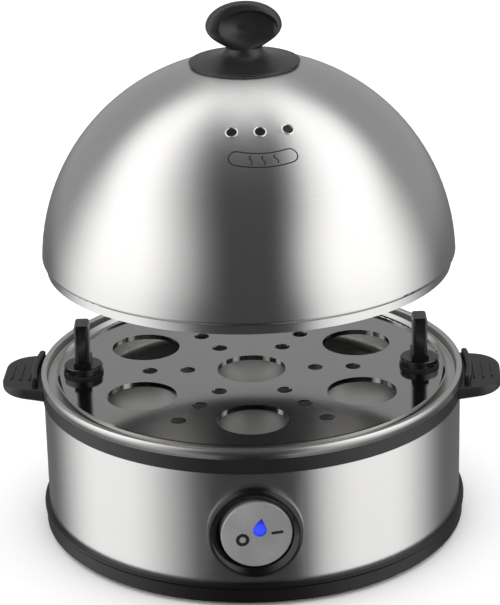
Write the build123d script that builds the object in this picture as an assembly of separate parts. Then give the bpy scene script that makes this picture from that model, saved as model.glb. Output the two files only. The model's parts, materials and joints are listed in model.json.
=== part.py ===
from build123d import *
import math
import os

# Egg cooker: round steel base, lift-out egg tray and domed lid held above it.
# Frame: +Z up, front (switch) towards -Y, origin on the floor at the centre of the feet.
# All sizes are in millimetres.

# Heights, from the floor up
FOOT_DROP = 1.5            # how far the feet stand below the base ring
COVER_Z = 2.5              # underside of the bottom cover
COVER_T = 2.5
RING_SEAT_Z = 8.5          # where the steel sleeve stands in the base ring
RING_TOP_Z = 10.0
SLEEVE_TOP_Z = 57.9
COLLAR_TOP_Z = 64.3
PAN_FLOOR_Z = 50.5
PAN_LEDGE_Z = 64.5
PAN_RIM_Z = 68.3
TRAY_TOP_Z = 65.2
TRAY_RIM_Z = 67.6
SWITCH_Z = 33.0
GLAND_Z = 20.0
LIP_Z = 115.0              # lower edge of the raised lid
LIP_TOP_Z = 118.7
SHOULDER_Z = 120.5         # where the rounded shoulder above the lip meets the dome
DOME_CENTRE_Z = 116.1

# Radii of the round shells
SLEEVE_R = 88.0
SLEEVE_T = 0.5
SPIGOT_R = 87.4            # plastic walls that the sleeve slips over
COLLAR_R = 88.6
RING_R = 89.4
RING_BEAD_R = 90.0
PAN_RIM_R = 88.8
PAN_WALL_R = 86.3
PAN_LEDGE_R = 80.6
PAN_FLOOR_R = 76.5
SHEET = 0.6                # steel of the pan, the tray and the lid
TRAY_RIM_R = 82.0
LIP_R = 83.8
DOME_R = 85.6

# Egg tray
EGG_HOLE_R = 14.5
EGG_CIRCLE_R = 52.5
EGG_COUNT_ROUND = 6
EGG_LIP = 2.1              # turned-down lip of each egg hole
STEAM_HOLE_R = 3.2
STEAM_RADII = (27.0, 43.0, 60.0)
POST_X = 71.0
POST_TOP_Z = 87.9
POST_DISC_R = 8.1
POST_DISC_Z = 69.4
POST_GASKET_R = 8.4
POST_GASKET_TOP_Z = 66.3
POST_BORE_R = 1.7

# Side handles
HANDLE_TURN = -2.5         # the handles are set round by this much against the switch
HANDLE_ROOT_X = 80.0
HANDLE_REACH = 105.0
HANDLE_HALF_WIDTH = 21.5
HANDLE_END_HALF_WIDTH = 16.5
HANDLE_CORNER_R = 12.5
HANDLE_TOP_Z = 64.1
HANDLE_T = 6.0
HANDLE_TIP_RISE = 1.8      # how much the underside rises towards the tip
HANDLE_SCREW_Y = 11.0
HANDLE_SCREW_Z = 59.9
HANDLE_SCREW_R = 1.2
HANDLE_SCREW_HEAD_X = 82.6  # inner end of the screw heads, in the collar's counterbores
FIN_INNER_R = 90.3         # the fin stands clear of the pan's rim
FIN_T = 2.5
FIN_HALF_LENGTH = 15.5
FIN_TOP_Z = 67.9
RIB_X = (93.6, 97.4, 101.2)
RIB_LENGTHS = (17.5, 16.5, 14.0)
RIB_WIDTH = 0.8
RIB_HEIGHT = 0.45

# Switch and cord gland: both stand FRONT_PROUD off the wall, one at the front, one at the rear
FRONT_PROUD = 4.0
BEZEL_R = 19.15
BEZEL_BORE_R = 15.3
NECK_R = 16.4
ROCKER_R = 14.3
ROCKER_PIVOT_Y = -85.0
ROCKER_FACE_Y = -91.0
ROCKER_REST_TURN = 6.0     # right-hand side pressed in: switched on
PIVOT_R = 1.5
MARK_DEPTH = 0.4
OFF_MARK_AT = (-5.7, -2.0)  # marks and drop: places on the rocker's face, from its centre
ON_MARK_AT = (8.1, 0.3)
ON_MARK_TILT = 5.0
DROP_AT = (1.25, 1.65)
DROP_R = 2.75
DROP_TIP = (0.9, 5.4)      # the drop's tip, from the centre of its round end
LENS_RECESS = 0.35
LENS_GAP = 0.02
GLAND_BORE_R = 3.3
TERMINAL_X = 9.0
TERMINAL_Y = -60.0         # middle of the switch's tabs
WIRE_END_Y = -56.5         # the wires' ends on those tabs
LAMP_RISE = 4.0            # how far the lamp stands above the switch's centre
CLAMP_Y = 68.0
CLAMP_SCREW_X = 9.0

# Lid
LID_TURN = 6.2             # the lid is set down turned by this much
STEAM_VENT_R = 2.1
STEAM_VENT_ELEVATION = 54.1
STEAM_VENT_STEP = 12.6
KNOB_BASE_R = 22.6
KNOB_TOP_Z = 224.3
KNOB_HEAD_HALF = (15.4, 5.6, 9.9)
KNOB_DISH_HALF = (12.0, 3.4, 7.4)
KNOB_GASKET_T = 0.4

# Terminal block on the bottom cover
BLOCK_Y = 36.0
BLOCK_TOP_Z = 18.0
BLOCK_POLES = (-9.0, 0.0, 9.0)
WIRE_Z = 10.5

# Heater under the pan floor
PLATE_R = 46.0
PLATE_Z = 44.9
TUBE_RING_R = 38.0
TUBE_R = 3.3
TUBE_Z = 41.6
TUBE_GAP = 14.0            # half angle of the gap between the tube's ends, at the rear
STUD_CIRCLE_R = 50.0
STUD_ANGLES = (90, 210, 330)
SHIELD_Z = 34.0
SHIELD_R = 54.5
BRACKET_SCREW_X = 22.0
THERMOSTAT_TAB_Y = 15.8
THERMOSTAT_TAB_Z = 41.4
FUSE_Y = 24.0
FUSE_Z = PLATE_Z - 2.8
FUSE_LEAD_X = 11.0

# Screws that hold the two halves of the body together
PILLAR_CIRCLE_R = 80.0
PILLAR_ANGLES = (45, 135, 225, 315)
FOOT_CIRCLE_R = 64.0

BOTTOM = (Align.CENTER, Align.CENTER, Align.MIN)


def at_angle(radius, degrees, z=0.0):
    """A point on a circle about the vertical axis."""
    turn = math.radians(degrees)
    return (radius * math.cos(turn), radius * math.sin(turn), z)


def disc(radius, low, high, x=0.0, y=0.0):
    """An upright cylinder between two heights."""
    return Pos(x, y, low) * Cylinder(radius, high - low, align=BOTTOM)


def ring(outer, inner, low, high):
    """An upright tube between two heights."""
    return disc(outer, low, high) - disc(inner, low, high)


def block(x_size, y_size, low, high, x=0.0, y=0.0):
    """An upright block between two heights."""
    return Pos(x, y, low) * Box(x_size, y_size, high - low, align=BOTTOM)


def rod_y(radius, front, back, x=0.0, z=0.0):
    """A cylinder along Y, from its front end to its back end."""
    middle = (front + back) / 2
    return Pos(x, middle, z) * Rot(90, 0, 0) * Cylinder(radius, back - front)


def rod_x(radius, left, right, y=0.0, z=0.0):
    """A cylinder along X, from its left end to its right end."""
    middle = (left + right) / 2
    return Pos(middle, y, z) * Rot(0, 90, 0) * Cylinder(radius, right - left)


def turned(outline):
    """A solid of revolution about Z, from an outline drawn as (radius, height)."""
    return revolve(make_face(Plane.XZ * outline), Axis.Z, 360)


def bent_sheet(path, thickness):
    """A turned sheet-metal shell: the path is one surface, the thickness lies to its left."""
    outline = path.wire().offset_2d(thickness, kind=Kind.ARC, side=Side.LEFT, closed=True)
    return turned(outline)


def hexagon_nut(size, bore, low, high, x, y):
    nut = extrude(RegularPolygon(size / 2, 6, major_radius=False), high - low)
    return Pos(x, y, low) * (nut - Cylinder(bore, 2 * (high - low) + 1))


def pan_head_screw(shank_r, head_r, head_t, length, low=0.0):
    """A screw pointing up: its head from low upwards, then its shank, with a cross recess."""
    head = disc(head_r, low, low + head_t)
    head = fillet(head.edges().group_by(Axis.Z)[0], min(0.8, head_t * 0.4))
    slot = block(head_r, 0.8, low, low + head_t * 0.5)
    shank = disc(shank_r, low + head_t, low + head_t + length)
    return head + shank - slot - Rot(0, 0, 90) * slot


def lead(points, diameter=2.2):
    """A wire along straight runs joined by tangent arcs, as large as the runs allow."""
    corners = [Vector(*point) for point in points]
    radii = []
    for before, here, after in zip(corners, corners[1:], corners[2:]):
        half_turn = math.radians((here - before).get_angle(after - here)) / 2
        shorter = min((here - before).length, (after - here).length)
        radii.append(0.45 * shorter / math.tan(half_turn))
    path = FilletPolyline(*points, radius=radii) if radii else Line(*points)
    start = Plane(origin=path @ 0, z_dir=path % 0)
    return sweep(start * Circle(diameter / 2), path=path)


# ---------------------------------------------------------------- body shells

def base_ring():
    outline = Polyline(
        (85.0, FOOT_DROP), (88.7, FOOT_DROP), (RING_R, 2.2), (RING_R, 7.5), (RING_R - 0.4, 7.9),
        (RING_R - 0.4, 8.2), (RING_BEAD_R, 8.5), (RING_BEAD_R, 9.6), (RING_BEAD_R - 0.4, RING_TOP_Z),
        (SLEEVE_R + 0.1, RING_TOP_Z), (SLEEVE_R + 0.1, RING_SEAT_Z), (SPIGOT_R, RING_SEAT_Z),
        (SPIGOT_R, 20.0), (85.0, 20.0), (85.0, 7.5), (82.0, 7.5), (82.0, 5.2), (85.0, 5.2), close=True)
    body = turned(outline)
    body -= rod_y(NECK_R + 0.9, -SLEEVE_R + 0.5, -70, z=SWITCH_Z)
    body -= rod_y(7.0, 70, SLEEVE_R - 0.5, z=GLAND_Z)
    for angle in PILLAR_ANGLES:
        body -= disc(2.1, 4, 8.4, *at_angle(PILLAR_CIRCLE_R, angle)[:2])
    return body


def outer_sleeve():
    wall = ring(SLEEVE_R, SLEEVE_R - SLEEVE_T, RING_SEAT_Z, SLEEVE_TOP_Z)
    wall -= rod_y(NECK_R + 0.2, -100, 0, z=SWITCH_Z)
    return wall - rod_y(6.2, 0, 100, z=GLAND_Z)


def pan_arm(angle):
    """An arm of the collar under the pan floor, with the hole for the pan's stud."""
    inner = PLATE_R + 0.5
    length = 86.0 - inner
    arm = block(length, 10.0, 46.4, 49.85, x=inner + length / 2)
    arm -= disc(2.2, 40, 52, STUD_CIRCLE_R)
    return Rot(0, 0, angle) * arm


def collar_pillar(angle):
    """A pillar down to the bottom cover, webbed to the collar's wall."""
    pillar = disc(4.5, 7.55, 49.0, PILLAR_CIRCLE_R)
    pillar += block(6.0, 6.0, 44.5, 49.0, x=83.5)
    pillar -= disc(1.6, 7.0, 22.0, PILLAR_CIRCLE_R)
    return Rot(0, 0, angle) * pillar


def upper_collar():
    outline = Polyline(
        (81.8, 57.9), (84.6, 57.9), (84.6, 44.0), (SPIGOT_R, 44.0), (SPIGOT_R, SLEEVE_TOP_Z),
        (COLLAR_R - 0.3, SLEEVE_TOP_Z), (COLLAR_R, 58.2), (COLLAR_R, COLLAR_TOP_Z),
        (PAN_WALL_R + 0.7, COLLAR_TOP_Z), (PAN_WALL_R + 0.7, 61.4), (81.8, 61.4), close=True)
    body = turned(outline)
    for turn in (HANDLE_TURN, HANDLE_TURN + 180):
        body += Rot(0, 0, turn) * block(3.0, 34.0, 55.5, 59.0, x=83.7)
    for angle in STUD_ANGLES:
        body += pan_arm(angle)
    for angle in PILLAR_ANGLES:
        body += collar_pillar(angle)
    for turn in (HANDLE_TURN, HANDLE_TURN + 180):
        for y in (-HANDLE_SCREW_Y, HANDLE_SCREW_Y):
            hole = rod_x(HANDLE_SCREW_R + 0.05, 70, 95, y, HANDLE_SCREW_Z)
            hole += rod_x(2.05, 70, HANDLE_SCREW_HEAD_X + 1.2, y, HANDLE_SCREW_Z)
            body -= Rot(0, 0, turn) * hole
    return body - rod_y(NECK_R + 0.9, -SLEEVE_R + 0.5, -70, z=SWITCH_Z)


def bottom_cover():
    plate = disc(84.6, COVER_Z, COVER_Z + COVER_T)
    for angle in PILLAR_ANGLES:
        x, y, _ = at_angle(PILLAR_CIRCLE_R, angle)
        plate -= disc(2.0, 0, 10, x, y) + disc(3.6, 0, COVER_Z + 1.2, x, y)
        x, y, _ = at_angle(FOOT_CIRCLE_R, angle)
        plate -= disc(2.6, 0, 10, x, y)
    for row in range(-3, 4):
        plate -= block(24.0, 2.4, 0, 10, y=-8 + 6.0 * row)
    for side in (-1, 1):
        boss = disc(3.4, COVER_Z + COVER_T, GLAND_Z, side * CLAMP_SCREW_X, CLAMP_Y)
        plate += boss - disc(1.3, 10, GLAND_Z + 1, side * CLAMP_SCREW_X, CLAMP_Y)
    plate += block(12.0, 4.0, COVER_Z + COVER_T, GLAND_Z - GLAND_BORE_R - 0.2, y=CLAMP_Y)
    return plate


def foot(angle):
    x, y, _ = at_angle(FOOT_CIRCLE_R, angle)
    pad = disc(6.0, 0.0, COVER_Z, x, y)
    pad = chamfer(pad.edges().group_by(Axis.Z)[0], 0.5)
    stem = disc(2.5, COVER_Z, COVER_Z + COVER_T, x, y)
    return pad + stem + disc(3.3, COVER_Z + COVER_T, COVER_Z + COVER_T + 1.0, x, y)


def base_screws():
    screw = pan_head_screw(1.55, 3.4, 1.9, 16.0, low=COVER_Z - 1.9 + 1.2)
    pieces = []
    for angle in PILLAR_ANGLES:
        pieces.append(Rot(0, 0, angle) * Pos(PILLAR_CIRCLE_R, 0, 0) * screw)
    return pieces


# ---------------------------------------------------------------- side handles

def handle_grip():
    """The flat grip: it narrows to a rounded end, and its underside rises towards the tip."""
    low = HANDLE_TOP_Z - HANDLE_T
    plan = make_face(Polyline(
        (HANDLE_ROOT_X, -HANDLE_HALF_WIDTH), (HANDLE_REACH, -HANDLE_END_HALF_WIDTH),
        (HANDLE_REACH, HANDLE_END_HALF_WIDTH), (HANDLE_ROOT_X, HANDLE_HALF_WIDTH), close=True))
    plan = fillet(plan.vertices().group_by(Axis.X)[-1], HANDLE_CORNER_R)
    grip = Pos(0, 0, low) * extrude(plan, HANDLE_T)
    side_view = make_face(Plane.XZ * Polyline(
        (HANDLE_ROOT_X - 1, low), (HANDLE_REACH + 1, low + HANDLE_TIP_RISE),
        (HANDLE_REACH + 1, HANDLE_TOP_Z), (HANDLE_ROOT_X - 1, HANDLE_TOP_Z), close=True))
    grip &= extrude(side_view, HANDLE_HALF_WIDTH + 1, both=True)
    grip = fillet(grip.edges().group_by(Axis.Z)[-1], 1.0)
    return fillet(grip.faces().sort_by(Axis.Z)[0].edges(), 1.9)


def handle_fin():
    """An upright curved blade beside the rim, rounded at its ends and along its top."""
    fin = ring(FIN_INNER_R + FIN_T, FIN_INNER_R, HANDLE_TOP_Z - 1, FIN_TOP_Z)
    fin &= block(20, 2 * FIN_HALF_LENGTH, 60, 70, x=HANDLE_ROOT_X + 12)
    fin = fillet(fin.edges().filter_by(Axis.Z), 1.0)
    return fillet(fin.edges().group_by(Axis.Z)[-1], 0.9)


def handle():
    """The right-hand handle: the grip, its fin and three rounded grip ribs."""
    body = handle_grip() + handle_fin()
    for x, length in zip(RIB_X, RIB_LENGTHS):
        rib = block(RIB_WIDTH, length, HANDLE_TOP_Z - 0.4, HANDLE_TOP_Z + RIB_HEIGHT, x=x)
        body += fillet(rib.edges().group_by(Axis.Z)[-1], 0.3)
    body -= disc(COLLAR_R + 0.05, 50, 70) + disc(PAN_RIM_R + 0.2, COLLAR_TOP_Z - 0.4, 70)
    for y in (-HANDLE_SCREW_Y, HANDLE_SCREW_Y):
        body -= rod_x(HANDLE_SCREW_R, 85, 96, y, HANDLE_SCREW_Z)
    return Rot(0, 0, HANDLE_TURN) * body


def handle_screws():
    screw = Rot(0, 90, 0) * pan_head_screw(HANDLE_SCREW_R, 2.0, 1.2, 12.0)
    pieces = []
    for turn in (HANDLE_TURN, HANDLE_TURN + 180):
        for y in (-HANDLE_SCREW_Y, HANDLE_SCREW_Y):
            pieces.append(Rot(0, 0, turn) * Pos(HANDLE_SCREW_HEAD_X, y, HANDLE_SCREW_Z) * screw)
    return pieces


# ---------------------------------------------------------------- pan and heater

def water_pan():
    path = FilletPolyline(
        (PAN_RIM_R, COLLAR_TOP_Z), (PAN_RIM_R, PAN_RIM_Z), (PAN_WALL_R, PAN_RIM_Z),
        (PAN_WALL_R, PAN_LEDGE_Z), (PAN_LEDGE_R, PAN_LEDGE_Z), (PAN_FLOOR_R, PAN_FLOOR_Z),
        (0, PAN_FLOOR_Z), radius=[1.4, 0.9, 1.0, 1.0, 3.0])
    return bent_sheet(path, SHEET)


def pan_seal():
    """A rubber ring under the pan's ledge, just outside the heads of the handle screws."""
    return ring(86.0, 84.95, 61.4, PAN_LEDGE_Z - SHEET)


def heater_tube():
    """A C-shaped heater with both cold ends turned down through the shield, and their pins."""
    centre = Pos(0, 0, TUBE_Z)
    sweep_angle = 360 - 2 * TUBE_GAP
    tube = centre * Rot(0, 0, 90 + TUBE_GAP) * revolve(
        Plane.XZ * Pos(TUBE_RING_R, 0) * Circle(TUBE_R), Axis.Z, sweep_angle)
    for angle in (90 - TUBE_GAP, 90 + TUBE_GAP):
        x, y, _ = at_angle(TUBE_RING_R, angle)
        tube += Pos(x, y, TUBE_Z) * Sphere(TUBE_R)
        tube += disc(TUBE_R, 31.0, TUBE_Z, x, y)
        tube += disc(1.2, 25.0, 31.0, x, y)
    return tube


def heating_plate():
    plate = disc(PLATE_R, PLATE_Z, PAN_FLOOR_Z - SHEET)
    rib = ring(42.6, 33.4, TUBE_Z, PLATE_Z) - block(25, 30, 30, PLATE_Z, y=43)
    torus = Pos(0, 0, TUBE_Z) * Torus(TUBE_RING_R, TUBE_R + 0.02)
    plate += rib - torus
    for side in (-1, 1):
        plate -= disc(1.4, PLATE_Z - 1, PLATE_Z + 3.5, side * BRACKET_SCREW_X)
    return plate


def thermostat():
    case = disc(8.0, 40.4, PLATE_Z) + disc(5.5, 39.9, 40.4)
    for side in (-1, 1):
        case += block(4.8, 9.0, 41.0, 41.8, y=side * 11.5)
    return case


def thermostat_bracket():
    """A bent strap that presses the thermostat against the plate."""
    strap = block(27.2, 9.0, 38.7, 39.9)
    for side in (-1, 1):
        strap += block(1.2, 9.0, 38.7, PLATE_Z, x=side * 13.6)
        strap += block(14.4, 9.0, PLATE_Z - 1.2, PLATE_Z, x=side * 20.2)
        strap -= disc(1.7, 40, 50, side * BRACKET_SCREW_X)
    return strap


def bracket_screws():
    screw = pan_head_screw(1.4, 2.8, 1.8, 4.2, low=PLATE_Z - 1.2 - 1.8)
    return [Pos(side * BRACKET_SCREW_X, 0, 0) * screw for side in (-1, 1)]


def thermal_fuse():
    """The fuse's case and its two leads, in line."""
    fuse = rod_x(1.9, -6, 6, FUSE_Y, FUSE_Z)
    return fuse + rod_x(0.5, -FUSE_LEAD_X, FUSE_LEAD_X, FUSE_Y, FUSE_Z)


def fuse_sleeve():
    outer = rod_x(2.7, -9, 9, FUSE_Y, FUSE_Z)
    return outer - rod_x(2.0, -10, 10, FUSE_Y, FUSE_Z)


def pan_studs():
    return [disc(1.95, 29.5, PAN_FLOOR_Z - SHEET, *at_angle(STUD_CIRCLE_R, a)[:2]) for a in STUD_ANGLES]


def stud_nuts():
    pieces = []
    for angle in STUD_ANGLES:
        x, y, _ = at_angle(STUD_CIRCLE_R, angle)
        pieces.append(hexagon_nut(7.0, 2.0, 43.2, 46.4, x, y))
        pieces.append(hexagon_nut(7.0, 2.0, SHIELD_Z - 3.2, SHIELD_Z, x, y))
    return pieces


def shield_spacers():
    pieces = []
    for angle in STUD_ANGLES:
        low = SHIELD_Z + 0.5 + (0.8 if angle == 90 else 0.0)
        spacer = ring(3.2, 2.1, low, 43.2)
        pieces.append(Pos(*at_angle(STUD_CIRCLE_R, angle)) * spacer)
    return pieces


def heat_shield():
    plate = ring(SHIELD_R, 27.0, SHIELD_Z, SHIELD_Z + 0.5)
    plate += ring(SHIELD_R, SHIELD_R - 0.5, SHIELD_Z, SHIELD_Z + 4.0)
    for angle in STUD_ANGLES:
        plate -= disc(2.1, 30, 40, *at_angle(STUD_CIRCLE_R, angle)[:2])
    for angle in (90 - TUBE_GAP, 90 + TUBE_GAP):
        plate -= disc(4.3, 30, 34.6, *at_angle(TUBE_RING_R, angle)[:2])
    return plate


def earth_tag():
    x, y, _ = at_angle(STUD_CIRCLE_R, 90)
    low = SHIELD_Z + 0.5
    tag = disc(3.6, low, low + 0.8, x, y) + block(3.6, 12.0, low, low + 0.8, x, y - 8.0)
    return tag - disc(2.1, low - 1, low + 2, x, y)


# ---------------------------------------------------------------- wiring and cord inlet

def terminal_block():
    body = block(28.0, 14.0, COVER_Z + COVER_T, BLOCK_TOP_Z, y=BLOCK_Y)
    for x in BLOCK_POLES:
        body -= rod_y(2.0, BLOCK_Y - 8, BLOCK_Y + 8, x, WIRE_Z)
        body -= disc(1.8, 12.0, BLOCK_TOP_Z + 1, x, BLOCK_Y)
    return body


def block_screws():
    return [disc(1.7, 12.2, 16.5, x, BLOCK_Y) - block(0.6, 4.0, 16.0, 17.0, x, BLOCK_Y) for x in BLOCK_POLES]


def leads():
    """The insulated wires, from the terminal block to the switch, the heater and the earth tag."""
    front = BLOCK_Y - 6.0
    tip_x, tip_y, _ = at_angle(TUBE_RING_R, 90 - TUBE_GAP)
    return {
        "live_lead": lead([(-9, front, WIRE_Z), (-9, 14, WIRE_Z), (-12, -8, 13), (-12, -30, 20),
                           (-9, -46, 29), (-TERMINAL_X, WIRE_END_Y, SWITCH_Z)]),
        "switched_lead": lead([(0, WIRE_END_Y, SWITCH_Z), (0, -46, 30), (0, -33, 26), (0, -22, 30),
                               (0, -19, 39.5), (0, -THERMOSTAT_TAB_Y, THERMOSTAT_TAB_Z)]),
        "heater_lead": lead([(0, THERMOSTAT_TAB_Y, THERMOSTAT_TAB_Z), (-2.5, 19, 36), (-5.5, 25, 27),
                             (-tip_x, 32, 20), (-tip_x - 1.5, tip_y - 1, 21), (-tip_x, tip_y, 25.2)]),
        "neutral_lead": lead([(9, front, WIRE_Z), (9, 22, WIRE_Z), (12, 13, 16), (15, 13, 28),
                              (14.5, 20, 38), (FUSE_LEAD_X, FUSE_Y, FUSE_Z)]),
        "fuse_lead": lead([(-FUSE_LEAD_X, FUSE_Y, FUSE_Z), (-15, 21, 37), (-13, 16, 28), (-3, 16, 23),
                           (tip_x - 2, 24, 21), (tip_x + 0.8, 33, 21.5), (tip_x, tip_y, 25.2)]),
        "earth_lead": lead([(0, front, WIRE_Z), (0, 22, 11), (2.0, 13, 17), (2.0, 14, 27),
                            (0.5, 20, 34), (0.2, 28, 36.6), (0, 38.5, 36.25)], diameter=1.8),
        "lamp_lead": lead([(TERMINAL_X, WIRE_END_Y, SWITCH_Z), (9.5, -46, 28), (15, -28, 18), (20, -4, 12),
                           (20, 20, 12), (16.5, 36, 13)]),
    }


def cord_gland():
    """The rear bush for the supply cord: an outer flange, a barrel through the wall and its bore."""
    flange = rod_y(8.2, 80, SLEEVE_R + FRONT_PROUD, z=GLAND_Z)
    flange = fillet(flange.edges().group_by(Axis.Y)[-1], 1.6)
    flange -= disc(SLEEVE_R + 0.02, 0, 60)
    body = flange + rod_y(6.0, 79.0, SLEEVE_R + 1.0, z=GLAND_Z)
    body += rod_y(7.4, 79.0, 81.5, z=GLAND_Z)
    return body - rod_y(GLAND_BORE_R, 70, 100, z=GLAND_Z)


def cord_clamp():
    bar = block(26.0, 7.0, GLAND_Z + 0.05, GLAND_Z + 4.6, y=CLAMP_Y)
    bar -= rod_y(GLAND_BORE_R - 0.1, 60, 75, z=GLAND_Z)
    for side in (-1, 1):
        bar -= block(7.5, 8.0, GLAND_Z + 2.5, GLAND_Z + 6, x=side * 10.0, y=CLAMP_Y)
        bar -= disc(1.6, 15, 30, side * CLAMP_SCREW_X, CLAMP_Y)
    return bar


def clamp_screws():
    screw = Pos(0, 0, GLAND_Z + 4.3) * Rot(180, 0, 0) * pan_head_screw(1.25, 2.5, 1.8, 9.0)
    return [Pos(side * CLAMP_SCREW_X, CLAMP_Y, 0) * screw for side in (-1, 1)]


# ---------------------------------------------------------------- switch

def switch_bezel():
    """The round bezel: a rounded ring on the wall and a neck through it that carries the pivot."""
    front = -(SLEEVE_R + FRONT_PROUD)
    outer = rod_y(BEZEL_R, front, -80, z=SWITCH_Z)
    outer = fillet(outer.edges().group_by(Axis.Y)[0], 2.1)
    outer -= disc(SLEEVE_R + 0.02, 0, 60)
    body = outer + rod_y(NECK_R, -SLEEVE_R, -80, z=SWITCH_Z)
    mouth = Pos(0, front + 1.0, SWITCH_Z) * Rot(90, 0, 0) * Cone(BEZEL_BORE_R, BEZEL_BORE_R + 2.0, 2.0)
    body -= mouth
    body -= rod_y(BEZEL_BORE_R, -100, -70, z=SWITCH_Z)
    return body - Pos(0, ROCKER_PIVOT_Y, SWITCH_Z) * Cylinder(PIVOT_R + 0.05, 2 * NECK_R + 2)


def switch_housing():
    cup = rod_y(NECK_R, -80, -64, z=SWITCH_Z) - rod_y(BEZEL_BORE_R, -81, -75, z=SWITCH_Z)
    cup -= rod_y(1.6, -76, -70, z=SWITCH_Z + LAMP_RISE)
    return cup


def switch_terminals():
    return [Pos(x, TERMINAL_Y, SWITCH_Z) * Box(4.8, 8.0, 0.8) for x in (-TERMINAL_X, 0.0, TERMINAL_X)]


def indicator_lamp():
    bulb = rod_y(1.5, -78.5, -70.2, z=SWITCH_Z + LAMP_RISE)
    return bulb + Pos(0, -78.5, SWITCH_Z + LAMP_RISE) * Sphere(1.5)


def rocker_frame(shape):
    """Turn a piece of the rocker from level to its switched-on position."""
    pivot = Pos(0, ROCKER_PIVOT_Y, 0)
    return pivot * Rot(0, 0, ROCKER_REST_TURN) * pivot.inverse() * shape


def drop_plan(grow=0.0):
    """A water drop seen from the front: a round end and two sides that meet at a leaning tip."""
    radius = DROP_R + grow
    tip = (DROP_TIP[0], DROP_TIP[1] + 1.5 * grow)
    low = math.radians(-20)
    right = (radius * math.cos(low), radius * math.sin(low))
    left = (-right[0], right[1])
    round_end = ThreePointArc(left, (0, -radius), right)
    right_side = Spline(right, tip, tangents=[(0.25, 1.0), (-0.15, 1.0)])
    left_side = Spline(tip, left, tangents=[(-0.75, -0.75), (0.25, -1.0)])
    return make_face(Curve() + [round_end, right_side, left_side])


def front_prism(plan, front, depth, place):
    """A plan drawn as seen from the front, pushed back along +Y; place is from the switch's centre."""
    face = Pos(place[0], front + depth, SWITCH_Z + place[1]) * (Plane.XZ * plan)
    return extrude(face, depth, dir=(0, -1, 0))


def rocker_marks():
    """The round off mark and the straight on mark, set flush into the rocker's face."""
    off_plan = Circle(2.7) - Circle(1.3)
    on_plan = Rot(0, 0, ON_MARK_TILT) * SlotOverall(4.9, 1.3)
    off_mark = front_prism(off_plan, ROCKER_FACE_Y, MARK_DEPTH, OFF_MARK_AT)
    on_mark = front_prism(on_plan, ROCKER_FACE_Y, MARK_DEPTH, ON_MARK_AT)
    return [off_mark, on_mark]


def rocker_cap():
    cap = rod_y(ROCKER_R, ROCKER_FACE_Y, -83.0, z=SWITCH_Z)
    cap = fillet(cap.edges().group_by(Axis.Y)[0], 0.9)
    cap -= rod_y(ROCKER_R - 1.6, -86.5, -80, z=SWITCH_Z)
    cap += rod_y(2.2, -87.0, -79.0, x=0, z=SWITCH_Z - 5)
    pivot = Pos(0, ROCKER_PIVOT_Y, SWITCH_Z)
    for side in (-1, 1):
        cap += pivot * Pos(0, 0, side * 14.4) * Cylinder(PIVOT_R, 3.2)
    cap -= front_prism(drop_plan(), ROCKER_FACE_Y - 1, 6.0, DROP_AT)
    for mark in rocker_marks():
        cap -= mark
    return rocker_frame(cap)


def drop_lens():
    """The lens stands a little back from the rocker's face."""
    return rocker_frame(front_prism(drop_plan(-LENS_GAP), ROCKER_FACE_Y + LENS_RECESS, 4.0, DROP_AT))


# ---------------------------------------------------------------- egg tray

def egg_centres():
    centres = [(0.0, 0.0)]
    for number in range(EGG_COUNT_ROUND):
        centres.append(at_angle(EGG_CIRCLE_R, -90 + 60 * number)[:2])
    return centres


def egg_tray():
    path = FilletPolyline(
        (TRAY_RIM_R, TRAY_RIM_Z), (TRAY_RIM_R - 1.0, TRAY_TOP_Z), (0, TRAY_TOP_Z), radius=1.0)
    tray = bent_sheet(path, SHEET)
    for x, y in egg_centres():
        tray -= disc(EGG_HOLE_R, 50, 80, x, y)
        lip = ring(EGG_HOLE_R + SHEET, EGG_HOLE_R, TRAY_TOP_Z - EGG_LIP, TRAY_TOP_Z)
        tray += Pos(x, y, 0) * lip
    for number in range(6):
        for radius in STEAM_RADII:
            angle = 60 * number
            if radius < POST_X - 15 or angle % 180:
                tray -= disc(STEAM_HOLE_R, 50, 80, *at_angle(radius, angle)[:2])
    for side in (-1, 1):
        tray -= disc(POST_BORE_R, 50, 80, side * POST_X)
    return tray


def tray_post():
    """An upright lift post: a round foot, a stepped root and a flat stem with a rounded top."""
    foot_disc = disc(POST_DISC_R, POST_GASKET_TOP_Z, POST_DISC_Z)
    foot_disc = fillet(foot_disc.edges().group_by(Axis.Z)[-1], 0.7)
    step = block(7.2, 12.2, POST_DISC_Z - 1, POST_DISC_Z + 2.4)
    stem = block(6.0, 11.0, POST_DISC_Z, POST_TOP_Z)
    stem = fillet(stem.edges().filter_by(Axis.Z), 1.2)
    stem = fillet(stem.edges().group_by(Axis.Z)[-1], 1.1)
    post = foot_disc + step + stem
    return Pos(POST_X, 0, 0) * (post - disc(1.3, 60, 78))


def post_gasket():
    return Pos(POST_X, 0, 0) * ring(POST_GASKET_R, POST_BORE_R, TRAY_TOP_Z, POST_GASKET_TOP_Z)


def post_screws():
    screw = pan_head_screw(1.25, 3.2, 1.6, 13.0, low=TRAY_TOP_Z - SHEET - 1.6)
    return [Pos(side * POST_X, 0, 0) * screw for side in (-1, 1)]


# ---------------------------------------------------------------- lid

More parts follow.
